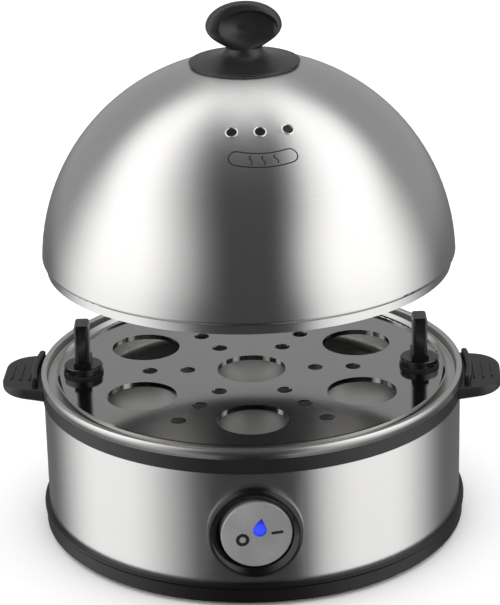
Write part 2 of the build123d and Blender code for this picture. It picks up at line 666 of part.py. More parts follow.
def lid_dome():
    """The domed lid: an upright lip, a rounded shoulder above it, the dome and three steam vents."""
    shoulder_r = math.sqrt(DOME_R ** 2 - (SHOULDER_Z - DOME_CENTRE_Z) ** 2)
    screw_hole_r = 2.1
    crown_z = DOME_CENTRE_Z + math.sqrt(DOME_R ** 2 - screw_hole_r ** 2)
    slant = DOME_R * math.sin(math.radians(45))
    bulge = math.sin(math.radians(45))
    shoulder_middle = (LIP_R + (shoulder_r - LIP_R) * bulge, SHOULDER_Z - (SHOULDER_Z - LIP_TOP_Z) * bulge)
    path = Curve() + [
        Line((LIP_R, LIP_Z), (LIP_R, LIP_TOP_Z)),
        ThreePointArc((LIP_R, LIP_TOP_Z), shoulder_middle, (shoulder_r, SHOULDER_Z)),
        ThreePointArc((shoulder_r, SHOULDER_Z), (slant, DOME_CENTRE_Z + slant), (screw_hole_r, crown_z))]
    shell = bent_sheet(path, SHEET)
    for step in (-1, 0, 1):
        azimuth = -90 + LID_TURN + step * STEAM_VENT_STEP
        drill = Rot(0, 90 - STEAM_VENT_ELEVATION, 0) * disc(STEAM_VENT_R, 75, 95)
        shell -= Pos(0, 0, DOME_CENTRE_Z) * Rot(0, 0, azimuth) * drill
    return shell


def lid_knob():
    """The knob: a thin flared foot on the dome and an oval head with a thumb dish at the front."""
    foot_outline = Polyline(
        (0, 190), (KNOB_BASE_R, 190), (KNOB_BASE_R, 199.7), (KNOB_BASE_R - 0.4, 200.0), (18.0, 200.7),
        (14.0, 201.5), (10.5, 202.6), (8.4, 204.0), (7.2, 206.0), (7.9, 208.5), (0, 208.5), close=True)
    knob = turned(foot_outline)
    head_z = KNOB_TOP_Z - KNOB_HEAD_HALF[2]
    knob += Pos(0, 0, head_z) * scale(Sphere(1), by=KNOB_HEAD_HALF)
    dish = scale(Sphere(1), by=KNOB_DISH_HALF)
    knob -= Pos(0, -KNOB_HEAD_HALF[1], head_z - 0.3) * dish
    knob -= Pos(0, 0, DOME_CENTRE_Z) * Sphere(DOME_R + KNOB_GASKET_T)
    knob -= disc(2.05, 190, 211)
    return Rot(0, 0, LID_TURN) * knob


def knob_gasket():
    shell = Sphere(DOME_R + KNOB_GASKET_T - 0.02) - Sphere(DOME_R + 0.02)
    pad = Pos(0, 0, DOME_CENTRE_Z) * shell & disc(KNOB_BASE_R - 0.8, 150, 210)
    return pad - disc(2.2, 150, 210)


def knob_washer():
    return ring(5.0, 2.15, 200.0, 200.8)


def knob_screw():
    return pan_head_screw(2.0, 3.9, 2.4, 10.5, low=197.6)


def mirrored(shape):
    """The same piece on the left-hand side."""
    return Rot(0, 0, 180) * shape


def write(name, shape):
    """Save one node, as one solid or as a group of separate solids."""
    if isinstance(shape, list):
        shape = Compound(children=[piece.solid() for piece in shape])
    export_step(shape, f"parts/{name}.step")


def main():
    os.makedirs("parts", exist_ok=True)
    nodes = {
        "bottom_cover": bottom_cover(),
        "base_ring": base_ring(),
        "outer_sleeve": outer_sleeve(),
        "upper_collar": upper_collar(),
        "base_screws": base_screws(),
        "right_handle": handle(),
        "left_handle": mirrored(handle()),
        "handle_screws": handle_screws(),
        "water_pan": water_pan(),
        "pan_seal": pan_seal(),
        "heating_plate": heating_plate(),
        "heater_tube": heater_tube(),
        "thermostat": thermostat(),
        "thermostat_bracket": thermostat_bracket(),
        "bracket_screws": bracket_screws(),
        "thermal_fuse": thermal_fuse(),
        "fuse_sleeve": fuse_sleeve(),
        "pan_studs": pan_studs(),
        "stud_nuts": stud_nuts(),
        "shield_spacers": shield_spacers(),
        "heat_shield": heat_shield(),
        "earth_tag": earth_tag(),
        "terminal_block": terminal_block(),
        "block_screws": block_screws(),
        "cord_gland": cord_gland(),
        "cord_clamp": cord_clamp(),
        "clamp_screws": clamp_screws(),
        "switch_bezel": switch_bezel(),
        "switch_housing": switch_housing(),
        "switch_terminals": switch_terminals(),
        "indicator_lamp": indicator_lamp(),
        "rocker_cap": rocker_cap(),
        "rocker_marks": [rocker_frame(mark) for mark in rocker_marks()],
        "drop_lens": drop_lens(),
        "egg_tray": egg_tray(),
        "right_tray_post": tray_post(),
        "left_tray_post": mirrored(tray_post()),
        "right_post_gasket": post_gasket(),
        "left_post_gasket": mirrored(post_gasket()),
        "post_screws": post_screws(),
        "lid_dome": lid_dome(),
        "lid_knob": lid_knob(),
        "knob_gasket": knob_gasket(),
        "knob_washer": knob_washer(),
        "knob_screw": knob_screw(),
    }
    nodes.update(leads())
    for number, angle in enumerate(PILLAR_ANGLES, start=1):
        nodes[f"foot_{number}"] = foot(angle)
    for name, shape in nodes.items():
        write(name, shape)


main()
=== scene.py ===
"""Looks of the egg cooker: materials, detailed pieces, light and camera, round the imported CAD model."""

import json
import math

import bpy
from mathutils import Matrix, Vector


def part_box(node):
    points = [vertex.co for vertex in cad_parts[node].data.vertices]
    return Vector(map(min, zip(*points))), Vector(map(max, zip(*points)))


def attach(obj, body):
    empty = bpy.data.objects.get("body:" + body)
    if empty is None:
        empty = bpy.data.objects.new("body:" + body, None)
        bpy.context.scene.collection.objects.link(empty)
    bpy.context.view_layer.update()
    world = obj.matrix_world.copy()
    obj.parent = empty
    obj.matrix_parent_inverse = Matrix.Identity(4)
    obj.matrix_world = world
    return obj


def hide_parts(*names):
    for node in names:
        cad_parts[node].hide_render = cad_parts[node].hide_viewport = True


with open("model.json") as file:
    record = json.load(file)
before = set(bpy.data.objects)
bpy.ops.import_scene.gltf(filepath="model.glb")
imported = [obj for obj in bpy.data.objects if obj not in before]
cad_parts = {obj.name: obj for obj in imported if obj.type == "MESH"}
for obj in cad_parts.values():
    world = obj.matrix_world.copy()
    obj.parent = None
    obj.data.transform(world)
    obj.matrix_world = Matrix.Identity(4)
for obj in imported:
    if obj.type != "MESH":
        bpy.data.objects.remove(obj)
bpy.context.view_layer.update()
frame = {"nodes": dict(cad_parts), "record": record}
NODES = frame["nodes"]
MM = 0.001

# Places that the frame gives
LID_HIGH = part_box("lid_dome")[1]
KNOB_LOW, KNOB_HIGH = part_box("lid_knob")
DOME_RADIUS = LID_HIGH.x + 0.1 * MM      # the shoulder cuts the dome just above its widest circle
DOME_CENTRE = Vector((0.0, 0.0, LID_HIGH.z - DOME_RADIUS))
LID_TURN = math.radians(6.2)             # the lid is set down turned by this much


# ---------------------------------------------------------------- node helpers

def new_material(name):
    """A material with its default node tree; returns it with its node tree and its Principled shader."""
    material = bpy.data.materials.new(name)
    material.use_nodes = True
    tree = material.node_tree
    shader = tree.nodes["Principled BSDF"]
    return material, tree, shader


def add_node(tree, kind, inputs=None, **settings):
    """A node with its settings, and its input sockets set to values or linked to other sockets."""
    node = tree.nodes.new(kind)
    for key, value in settings.items():
        setattr(node, key, value)
    for key, value in (inputs or {}).items():
        if isinstance(value, bpy.types.NodeSocket):
            tree.links.new(value, node.inputs[key])
        else:
            node.inputs[key].default_value = value
    return node


def math_node(tree, operation, *values):
    return add_node(tree, "ShaderNodeMath", dict(enumerate(values)), operation=operation).outputs[0]


def ramp(tree, factor, stops):
    """A colour ramp with (position, value or colour) stops."""
    node = add_node(tree, "ShaderNodeValToRGB", {0: factor})
    elements = node.color_ramp.elements
    while len(elements) < len(stops):
        elements.new(0.5)
    for element, (position, value) in zip(elements, stops):
        element.position = position
        element.color = (*value, 1.0) if isinstance(value, tuple) else (value, value, value, 1.0)
    return node.outputs["Color"]


def grey(value):
    return (value, value, value)


def noise(tree, vector, scale, detail=2.0, roughness=0.5):
    inputs = {"Vector": vector, "Scale": scale, "Detail": detail, "Roughness": roughness}
    return add_node(tree, "ShaderNodeTexNoise", inputs).outputs["Fac"]


def bump(tree, shader, height, strength, distance):
    node = add_node(tree, "ShaderNodeBump", {"Height": height, "Strength": strength, "Distance": distance})
    tree.links.new(node.outputs["Normal"], shader.inputs["Normal"])


def round_coordinates(tree, around, along, centre_z=None):
    """Coordinates stretched round the vertical axis, as a turned or brushed surface has them.

    around is how quickly they change round the axis, along how quickly from ring to ring."""
    place = add_node(tree, "ShaderNodeTexCoord").outputs["Object"]
    x, y, z = add_node(tree, "ShaderNodeSeparateXYZ", {0: place}).outputs
    radius = math_node(tree, "SQRT", math_node(tree, "ADD", math_node(tree, "MULTIPLY", x, x),
                                               math_node(tree, "MULTIPLY", y, y)))
    safe = math_node(tree, "MAXIMUM", radius, 1e-5)
    turn_x = math_node(tree, "MULTIPLY", math_node(tree, "DIVIDE", x, safe), around)
    turn_y = math_node(tree, "MULTIPLY", math_node(tree, "DIVIDE", y, safe), around)
    if centre_z is None:
        line = math_node(tree, "ADD", math_node(tree, "MULTIPLY", z, along),
                         math_node(tree, "MULTIPLY", radius, along))
    else:
        height = math_node(tree, "SUBTRACT", z, centre_z)
        line = math_node(tree, "MULTIPLY", math_node(tree, "ARCTAN2", height, safe), along)
    return add_node(tree, "ShaderNodeCombineXYZ", {0: turn_x, 1: turn_y, 2: line}).outputs[0]


def straight_coordinates(tree, stretch):
    """Object coordinates scaled separately along X, Y and Z, for straight brushing."""
    place = add_node(tree, "ShaderNodeTexCoord").outputs["Object"]
    return add_node(tree, "ShaderNodeMapping", {"Vector": place, "Scale": stretch}).outputs[0]


# ---------------------------------------------------------------- materials

def brushed_metal(name, colour, roughness, anisotropy, centre_z=None, along=2600.0, lines=0.004):
    """Steel brushed round the vertical axis: fine streaks in tone, roughness and height."""
    material, tree, shader = new_material(name)
    streaks = noise(tree, round_coordinates(tree, 7.0, along, centre_z), 1.0, 3.0, 0.6)
    broad = noise(tree, round_coordinates(tree, 1.2, along * 0.02, centre_z), 1.0, 2.0, 0.5)
    mixed = math_node(tree, "ADD", math_node(tree, "MULTIPLY", streaks, 0.7),
                      math_node(tree, "MULTIPLY", broad, 0.3))
    dark = tuple(c * 0.97 for c in colour)
    light = tuple(c * 1.02 for c in colour)
    tree.links.new(ramp(tree, mixed, [(0.3, dark), (0.7, light)]), shader.inputs["Base Color"])
    rough = ramp(tree, mixed, [(0.3, grey(roughness * 0.93)), (0.7, grey(roughness * 1.07))])
    tree.links.new(rough, shader.inputs["Roughness"])
    shader.inputs["Metallic"].default_value = 1.0
    shader.inputs["Anisotropic"].default_value = anisotropy
    shader.inputs["Anisotropic Rotation"].default_value = 0.25
    tangent = add_node(tree, "ShaderNodeTangent", direction_type="RADIAL", axis="Z")
    tree.links.new(tangent.outputs[0], shader.inputs["Tangent"])
    bump(tree, shader, streaks, lines, 0.0002)
    return material


def plain_metal(name, colour, roughness, grain=900.0, strength=0.06):
    """Plated, cast or rolled metal with a fine even grain."""
    material, tree, shader = new_material(name)
    place = straight_coordinates(tree, (1.0, 1.0, 1.0))
    fine = noise(tree, place, grain, 3.0, 0.6)
    broad = noise(tree, place, grain / 12, 2.0, 0.5)
    dark = tuple(c * 0.82 for c in colour)
    tree.links.new(ramp(tree, broad, [(0.3, dark), (0.7, colour)]), shader.inputs["Base Color"])
    rough = ramp(tree, fine, [(0.25, grey(roughness * 0.8)), (0.75, grey(roughness * 1.2))])
    tree.links.new(rough, shader.inputs["Roughness"])
    shader.inputs["Metallic"].default_value = 1.0
    bump(tree, shader, fine, strength, 0.0002)
    return material


def plastic(name, colour, roughness, grain=1400.0, strength=0.12, coat=0.0, specular=0.5,
            metallic=0.0):
    """Moulded plastic: an even spark-eroded grain, slight mottling and, if glossy, a clear coat."""
    material, tree, shader = new_material(name)
    place = straight_coordinates(tree, (1.0, 1.0, 1.0))
    fine = noise(tree, place, grain, 3.0, 0.55)
    broad = noise(tree, place, 45.0, 2.0, 0.5)
    dark = tuple(c * 0.85 for c in colour)
    light = tuple(c * 1.15 for c in colour)
    tree.links.new(ramp(tree, broad, [(0.3, dark), (0.7, light)]), shader.inputs["Base Color"])
    rough = ramp(tree, fine, [(0.2, grey(roughness * 0.85)), (0.8, grey(min(1.0, roughness * 1.15)))])
    tree.links.new(rough, shader.inputs["Roughness"])
    shader.inputs["Specular IOR Level"].default_value = specular
    shader.inputs["Metallic"].default_value = metallic
    shader.inputs["Coat Weight"].default_value = coat
    shader.inputs["Coat Roughness"].default_value = 0.08
    bump(tree, shader, fine, strength, 0.0001)
    return material


def lit_lens(name, colour, glow, node):
    """A translucent coloured lens with a lamp behind it: brightest at its middle, and darker towards its rim,
    where the darkening is painted shade of the lens's recessed edge.
    """
    material, tree, shader = new_material(name)
    low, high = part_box(node)
    half_width = (high.x - low.x) / 2
    place = add_node(tree, "ShaderNodeTexCoord").outputs["Object"]
    x, _, z = add_node(tree, "ShaderNodeSeparateXYZ", {0: place}).outputs
    across = math_node(tree, "SUBTRACT", x, low.x + half_width)
    up = math_node(tree, "SUBTRACT", z, low.z + half_width)
    from_middle = math_node(tree, "SQRT", math_node(tree, "MULTIPLY_ADD", across, across,
                                                    math_node(tree, "MULTIPLY", up, up)))
    share = math_node(tree, "DIVIDE", from_middle, half_width * 1.6)
    # painted shade: colour and glow darken from the middle to the rim, in place of the shadow of the lens's
    # recessed edge
    dark = tuple(c * 0.35 for c in colour)
    shade = ramp(tree, share, [(0.25, colour), (0.75, dark)])
    tree.links.new(shade, shader.inputs["Base Color"])
    tree.links.new(shade, shader.inputs["Emission Color"])
    shader.inputs["Emission Strength"].default_value = glow
    shader.inputs["Roughness"].default_value = 0.25
    return material


def woven_sleeve(name, colour):
    """Braided glass-fibre sleeving."""
    material, tree, shader = new_material(name)
    place = straight_coordinates(tree, (1.0, 1.0, 1.0))
    wave = add_node(tree, "ShaderNodeTexWave", {"Vector": place, "Scale": 700.0, "Distortion": 2.0})
    dark = tuple(c * 0.7 for c in colour)
    tree.links.new(ramp(tree, wave.outputs["Fac"], [(0.2, dark), (0.8, colour)]), shader.inputs["Base Color"])
    shader.inputs["Roughness"].default_value = 0.85
    bump(tree, shader, wave.outputs["Fac"], 0.4, 0.0002)
    return material


def lamp_glass(name, colour):
    material, tree, shader = new_material(name)
    place = straight_coordinates(tree, (1.0, 1.0, 1.0))
    cloud = noise(tree, place, 500.0, 2.0, 0.5)
    tree.links.new(ramp(tree, cloud, [(0.3, grey(0.04)), (0.7, grey(0.10))]), shader.inputs["Roughness"])
    shader.inputs["Base Color"].default_value = (*colour, 1.0)
    shader.inputs["Transmission Weight"].default_value = 0.9
    return material


STEEL = (0.62, 0.615, 0.61)

MATERIALS = {
    "lid_steel": brushed_metal("lid_steel", STEEL, 0.23, 0.9, centre_z=DOME_CENTRE.z, along=220.0),
    "wall_steel": brushed_metal("wall_steel", STEEL, 0.23, 0.9),
    "pan_steel": brushed_metal("pan_steel", (0.60, 0.595, 0.585), 0.30, 0.6),
    "tray_steel": brushed_metal("tray_steel", (0.46, 0.455, 0.45), 0.09, 0.2, lines=0.003),
    "black_plastic": plastic("black_plastic", (0.010, 0.010, 0.0105), 0.36, specular=0.36),
    "ring_plastic": plastic("ring_plastic", (0.004, 0.004, 0.0042), 0.34, specular=0.3),
    "knob_plastic": plastic("knob_plastic", (0.010, 0.010, 0.0105), 0.34),
    "bezel_plastic": plastic("bezel_plastic", (0.004, 0.004, 0.0042), 0.11, strength=0.01, specular=0.38),
    "post_plastic": plastic("post_plastic", (0.006, 0.006, 0.0062), 0.20, strength=0.02, coat=0.2),
    "rocker_plastic": plastic("rocker_plastic", (0.30, 0.30, 0.305), 0.26, 5000.0, strength=0.002,
                              metallic=0.35),
    "mark_ink": plastic("mark_ink", (0.010, 0.010, 0.0105), 0.5, strength=0.02, specular=0.3),
    "blue_lens": lit_lens("blue_lens", (0.020, 0.045, 0.85), 0.62, "drop_lens"),
    "rubber_black": plastic("rubber_black", (0.014, 0.014, 0.014), 0.70, grain=900.0, strength=0.3),
    "silicone_grey": plastic("silicone_grey", (0.07, 0.07, 0.07), 0.6, grain=700.0),
    "zinc_screw": plain_metal("zinc_screw", (0.60, 0.61, 0.63), 0.30),
    "cast_aluminium": plain_metal("cast_aluminium", (0.60, 0.60, 0.61), 0.50, 500.0, 0.25),
    "heater_sheath": plain_metal("heater_sheath", (0.42, 0.42, 0.43), 0.45, 600.0, 0.15),
    "shield_steel": plain_metal("shield_steel", (0.52, 0.53, 0.54), 0.35, 300.0),
    "phenolic": plastic("phenolic", (0.045, 0.036, 0.030), 0.35),
    "block_plastic": plastic("block_plastic", (0.72, 0.71, 0.67), 0.45),
    "brass_parts": plain_metal("brass_parts", (0.72, 0.56, 0.28), 0.28),
    "fuse_case": plain_metal("fuse_case", (0.62, 0.60, 0.55), 0.30),
    "sleeve_glassfibre": woven_sleeve("sleeve_glassfibre", (0.80, 0.79, 0.75)),
    # painted highlight: a lighter copy of the steel, which makes the vent rims read as bright rings
    "bright_rim": plain_metal("bright_rim", (0.86, 0.86, 0.86), 0.28, strength=0.01),
    "lamp_glass": lamp_glass("lamp_glass", (0.55, 0.65, 0.95)),
    "lead_brown": plastic("lead_brown", (0.16, 0.07, 0.03), 0.45),
    "lead_blue": plastic("lead_blue", (0.03, 0.10, 0.35), 0.45),
    "lead_green": plastic("lead_green", (0.25, 0.45, 0.05), 0.45),
}


def dress_cad_nodes():
    """Give every CAD node the material of its slot in the record."""
    for part in frame["record"]["subparts"]:
        node = NODES[part["node"]]
        material = MATERIALS[part["material_slot"]]
        if not node.material_slots:
            node.data.materials.append(material)
        for slot in node.material_slots:
            slot.material = material


# ---------------------------------------------------------------- mesh helpers

def mesh_object(name, points, faces, material):
    mesh = bpy.data.meshes.new(name)
    mesh.from_pydata([tuple(p) for p in points], [], faces)
    mesh.validate()
    for polygon in mesh.polygons:
        polygon.use_smooth = True
    piece = bpy.data.objects.new(name, mesh)
    bpy.context.scene.collection.objects.link(piece)
    mesh.materials.append(MATERIALS[material])
    return piece


def grid_faces(rows, columns):
    """Quads between rows of points, with the last column joined to the first."""
    faces = []
    for row in range(rows - 1):
        for column in range(columns):
            following = (column + 1) % columns
            faces.append((row * columns + column, row * columns + following,
                          (row + 1) * columns + following, (row + 1) * columns + column))
    return faces


def rounded_profile(corners, radii, steps=10):
    """An outline of (radius, height) points whose inner corners are rounded, one radius for each."""
    corners = [Vector(corner) for corner in corners]
    points = [corners[0]]
    for before, corner, after, radius in zip(corners, corners[1:], corners[2:], radii):
        back = (before - corner).normalized()
        ahead = (after - corner).normalized()
        half_angle = back.angle(ahead) / 2
        reach = radius / math.tan(half_angle)
        centre = corner + (back + ahead).normalized() * radius / math.sin(half_angle)
        for step in range(steps + 1):
            chord = (corner + back * reach).lerp(corner + ahead * reach, step / steps)
            points.append(centre + (chord - centre).normalized() * radius)
    points.append(corners[-1])
    return points


def turned_mesh(name, profile, material, columns=256):
    """A sheet turned about the vertical axis; its last profile point is on the axis."""
    points = []
    for radius, height in profile[:-1]:
        for column in range(columns):
            turn = 2 * math.pi * column / columns
            points.append((radius * math.cos(turn), radius * math.sin(turn), height))
    faces = grid_faces(len(profile) - 1, columns)
    last_row = (len(profile) - 2) * columns
    points.append((0.0, 0.0, profile[-1][1]))
    for column in range(columns):
        faces.append((last_row + column, last_row + (column + 1) % columns, len(points) - 1))
    return mesh_object(name, points, faces, material)


def rounded(piece):
    """Smooth a mesh by one subdivision."""
    modifier = piece.modifiers.new("smooth", "SUBSURF")
    modifier.levels = 1
    modifier.render_levels = 1
    return piece


# ---------------------------------------------------------------- water pan

PAN_LOW, PAN_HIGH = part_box("water_pan")
PAN_SHEET = 0.6 * MM


def make_pan():
    """The water pan as one smooth turned sheet: skirt, rim, wall, ledge and floor."""
    skirt = PAN_HIGH.x
    rim = PAN_HIGH.z
    wall = skirt - 2.5 * MM
    ledge_z = rim - 3.8 * MM
    ledge = skirt - 8.2 * MM
    floor = skirt - 12.3 * MM
    floor_z = PAN_LOW.z + PAN_SHEET
    corners = [(skirt, rim - 4.0 * MM), (skirt, rim), (wall, rim), (wall, ledge_z), (ledge, ledge_z),
               (floor, floor_z), (0.0, floor_z)]
    radii = [0.7 * MM, 0.6 * MM, 1.0 * MM, 1.0 * MM, 3.0 * MM]
    pan = turned_mesh("pan_body", rounded_profile(corners, radii), "pan_steel")
    thickness = pan.modifiers.new("sheet", "SOLIDIFY")
    thickness.thickness = PAN_SHEET
    thickness.offset = -1.0
    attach(pan, "base")
    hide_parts("water_pan")


# ---------------------------------------------------------------- knob

KNOB_TOP = KNOB_HIGH.z
KNOB_HEAD_HALF_WIDTH = 15.4 * MM
KNOB_HEAD_HALF_DEPTH = 5.6 * MM
KNOB_HEAD_HALF_HEIGHT = 9.9 * MM
KNOB_LOWER_HALF_HEIGHT = 9.0 * MM        # the head's lower half is a little shorter, to show the neck
KNOB_HEAD_Z = KNOB_TOP - KNOB_HEAD_HALF_HEIGHT
KNOB_FOOT_RADIUS = 22.6 * MM
KNOB_FOOT_UNDERSIDE_Z = KNOB_LOW.z + 0.05 * MM
KNOB_FLARE_Z = KNOB_TOP - 24.3 * MM      # top of the foot's thin edge
KNOB_EDGE_RADIUS = 0.4 * MM
KNOB_STEM_RADIUS = 6.5 * MM
KNOB_FLARE_DECAY = 1.8 * MM
KNOB_STEM_FADE = 7.0 * MM                # height over which the stem melts into the head
KNOB_NECK_Z = KNOB_TOP - 18.3 * MM
KNOB_LOWER_TAPER = 1.3                   # how much the head narrows towards the neck
KNOB_BLEND = 3.5                         # how sharply stem and head meet
KNOB_HEAD_SQUARENESS = 0.9               # how much boxier than an oval the head's sections are
KNOB_SQUARE_RISE = 5.0 * MM              # height over which the sections turn from round to boxy
KNOB_SIDE_FULLNESS = 0.7                 # below 1, the head stays thick nearer to its top
KNOB_FLARE_CROWDING = 1.7                # above 1, the foot's sections are closer near its edge
DISH_CENTRE = (0.9 * MM, KNOB_HEAD_Z - 0.2 * MM)
DISH_HALF = (12.1 * MM, 7.2 * MM)
DISH_DEPTH = 4.3 * MM
DISH_SOFT_EDGE = 1.4                     # power of the dish's slope where its edge is soft
DISH_CRISP_EDGE = 0.5                    # and where it is crisp
DISH_LEAST_DEPTH = 0.3                   # share of the head's front that the dish always leaves
KNOB_COLUMNS = 128
FLARE_ROWS = 18
HEAD_ROWS = 46


def smooth_maximum(first, second):
    return (first ** KNOB_BLEND + second ** KNOB_BLEND) ** (1 / KNOB_BLEND)


def stem_radius(z):
    """Radius of the flared foot and the stem above it, which fades out inside the head."""
    spread = KNOB_FOOT_RADIUS - KNOB_EDGE_RADIUS - KNOB_STEM_RADIUS
    flare = spread * math.exp((KNOB_FLARE_Z - z) / KNOB_FLARE_DECAY)
    inside = min(1.0, max(0.0, (z - KNOB_NECK_Z) / KNOB_STEM_FADE))
    return (KNOB_STEM_RADIUS + flare) * math.sqrt(1 - inside ** 2)


def knob_levels():
    """(height, half-width, half-depth) of each cross-section, from the foot's edge to the top."""
    edge = KNOB_EDGE_RADIUS
    levels = [(KNOB_FOOT_UNDERSIDE_Z, KNOB_FOOT_RADIUS - edge / 2, KNOB_FOOT_RADIUS - edge / 2)]
    for step in range(4):
        lean = math.radians(30 * step)
        radius = KNOB_FOOT_RADIUS - edge + edge * math.cos(lean)
        levels.append((KNOB_FLARE_Z - edge + edge * math.sin(lean), radius, radius))
    stem_height = KNOB_NECK_Z - KNOB_FLARE_Z
    heights = [KNOB_FLARE_Z + stem_height * (row / FLARE_ROWS) ** KNOB_FLARE_CROWDING
               for row in range(1, FLARE_ROWS)]
    lowest = math.asin((KNOB_NECK_Z - KNOB_HEAD_Z) / KNOB_HEAD_HALF_HEIGHT)
    for row in range(HEAD_ROWS):
        lean = lowest + (math.pi / 2 - lowest) * row / HEAD_ROWS
        heights.append(KNOB_HEAD_Z + KNOB_HEAD_HALF_HEIGHT * math.sin(lean))
    for z in heights:
        half_height = KNOB_HEAD_HALF_HEIGHT if z > KNOB_HEAD_Z else KNOB_LOWER_HALF_HEIGHT
        rise = (z - KNOB_HEAD_Z) / half_height
        share = math.sqrt(max(0.0, 1 - rise ** 2))
        stem = stem_radius(z)
        taper = KNOB_LOWER_TAPER if rise < 0 else 1.0
        depth = smooth_maximum(stem, KNOB_HEAD_HALF_DEPTH * share ** KNOB_SIDE_FULLNESS)
        levels.append((z, smooth_maximum(stem, KNOB_HEAD_HALF_WIDTH * share ** taper), depth))
    return levels


def dish_push(x, z):
    """How far the thumb dish presses the head's front back.

    Its edge is crisp at the upper right and soft at the lower left."""
    across = (x - DISH_CENTRE[0]) / DISH_HALF[0]
    up = (z - DISH_CENTRE[1]) / DISH_HALF[1]
    inside = 1 - across ** 2 - up ** 2
    if inside <= 0:
        return 0.0
    crispness = min(1.0, max(0.0, 0.5 + 0.5 * (across + up)))
    power = DISH_SOFT_EDGE - (DISH_SOFT_EDGE - DISH_CRISP_EDGE) * crispness
    return DISH_DEPTH * inside ** power


def section_point(half_width, half_depth, turn, squareness):
    """A point of a cross-section between an oval and a rounded box."""
    power = 2 / (2 + squareness)
    x = math.copysign(abs(math.cos(turn)) ** power, math.cos(turn))
    y = math.copysign(abs(math.sin(turn)) ** power, math.sin(turn))
    return half_width * x, half_depth * y


def make_knob():
    """The lid's knob as one smooth body: thin foot, slim neck and an oval head with a thumb dish."""
    levels = knob_levels()
    points = []
    for z, half_width, half_depth in levels:
        squareness = KNOB_HEAD_SQUARENESS * min(1.0, max(0.0, (z - KNOB_NECK_Z) / KNOB_SQUARE_RISE))
        for column in range(KNOB_COLUMNS):
            turn = 2 * math.pi * (column + 0.5) / KNOB_COLUMNS
            x, y = section_point(half_width, half_depth, turn, squareness)
            if y < 0:
                y = min(y + dish_push(x, z), DISH_LEAST_DEPTH * y)
            points.append((x, y, z))
    faces = grid_faces(len(levels), KNOB_COLUMNS)
    points.append((0.0, 0.0, KNOB_TOP))
    points.append((0.0, 0.0, KNOB_FOOT_UNDERSIDE_Z + 2.0 * MM))
    top_row = (len(levels) - 1) * KNOB_COLUMNS
    for column in range(KNOB_COLUMNS):
        following = (column + 1) % KNOB_COLUMNS
        faces.append((top_row + column, top_row + following, len(points) - 2))
        faces.append((following, column, len(points) - 1))
    turned_points = [Matrix.Rotation(LID_TURN, 3, "Z") @ Vector(point) for point in points]
    knob = rounded(mesh_object("knob_body", turned_points, faces, "knob_plastic"))
    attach(knob, "lid")
    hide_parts("lid_knob")


# ---------------------------------------------------------------- lines that lie on the dome

VENT_ELEVATION = 54.1
VENT_STEP = 12.6           # degrees between the three steam vents
VENT_RIM_RADIUS = 2.30 * MM
VENT_RIM_TUBE = 0.29 * MM
LABEL_ELEVATION = 45.4
LABEL_HALF_LENGTH = 13.75 * MM
LABEL_HALF_HEIGHT = 3.0 * MM
LABEL_BEND = 31.0 * MM     # radius of the label's curved middle line
LABEL_LINE = 0.27 * MM     # half the width of its lines
LABEL_LIFT = 0.04 * MM     # half the height of its lines


def dome_frame(azimuth, elevation):
    """The outward, rightward and upward directions at a place on the dome, in degrees."""
    turn = math.radians(azimuth - 90) + LID_TURN
    rise = math.radians(elevation)
    outward = Vector((math.cos(rise) * math.cos(turn), math.cos(rise) * math.sin(turn), math.sin(rise)))
    right = Vector((-math.sin(turn), math.cos(turn), 0.0))
    return outward, right, outward.cross(right)


def line_on_dome(name, outline, place, half_width, half_height, slot, closed, material=None):
    """A rounded bead that follows an outline of (right, up) points laid on the dome at a place."""
    outward, right, up = dome_frame(*place)
    middles = [(outward * DOME_RADIUS + right * x + up * y).normalized() * DOME_RADIUS for x, y in outline]
    count = len(middles)
    sides = 12
    points = []
    for index, middle in enumerate(middles):
        before = middles[index - 1] if closed or index > 0 else middle
        after = middles[(index + 1) % count] if closed or index < count - 1 else middle
        normal = middle.normalized()
        side = (after - before).cross(normal).normalized()
        end = not closed and index in (0, count - 1)
        width = half_width * (0.35 if end else 1.0)
        for step in range(sides):
            turn = 2 * math.pi * step / sides
            around = side * width * math.cos(turn) + normal * half_height * math.sin(turn)
            points.append(DOME_CENTRE + middle + around)
    faces = grid_faces(count, sides)
    if closed:
        last = (count - 1) * sides
        for step in range(sides):
            following = (step + 1) % sides
            faces.append((last + step, last + following, following, step))
    else:
        faces.append(tuple(range(sides - 1, -1, -1)))
        faces.append(tuple((count - 1) * sides + step for step in range(sides)))
    line = mesh_object(name, points, faces, slot)
    if material:
        line.data.materials[0] = material
    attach(line, "lid")


def make_vent_rims():
    """A small rolled rim round each of the three steam vents, in a lighter copy of the steel that paints
    their highlight.
    """
    steps = 40
    circle = [(VENT_RIM_RADIUS * math.cos(2 * math.pi * i / steps),
               VENT_RIM_RADIUS * math.sin(2 * math.pi * i / steps)) for i in range(steps)]
    for number, step in enumerate((-1, 0, 1), 1):
        # the rims take the lighter steel, a painted highlight, instead of the lid's own steel
        line_on_dome(f"vent_rim_{number}", circle, (step * VENT_STEP, VENT_ELEVATION),
                     VENT_RIM_TUBE, VENT_RIM_TUBE, "lid_steel", True, MATERIALS["bright_rim"])


def label_point(along, up):
    """A point of the label bent to a shallow smile."""
    turn = along / LABEL_BEND
    reach = LABEL_BEND - up
    return reach * math.sin(turn), LABEL_BEND - reach * math.cos(turn)


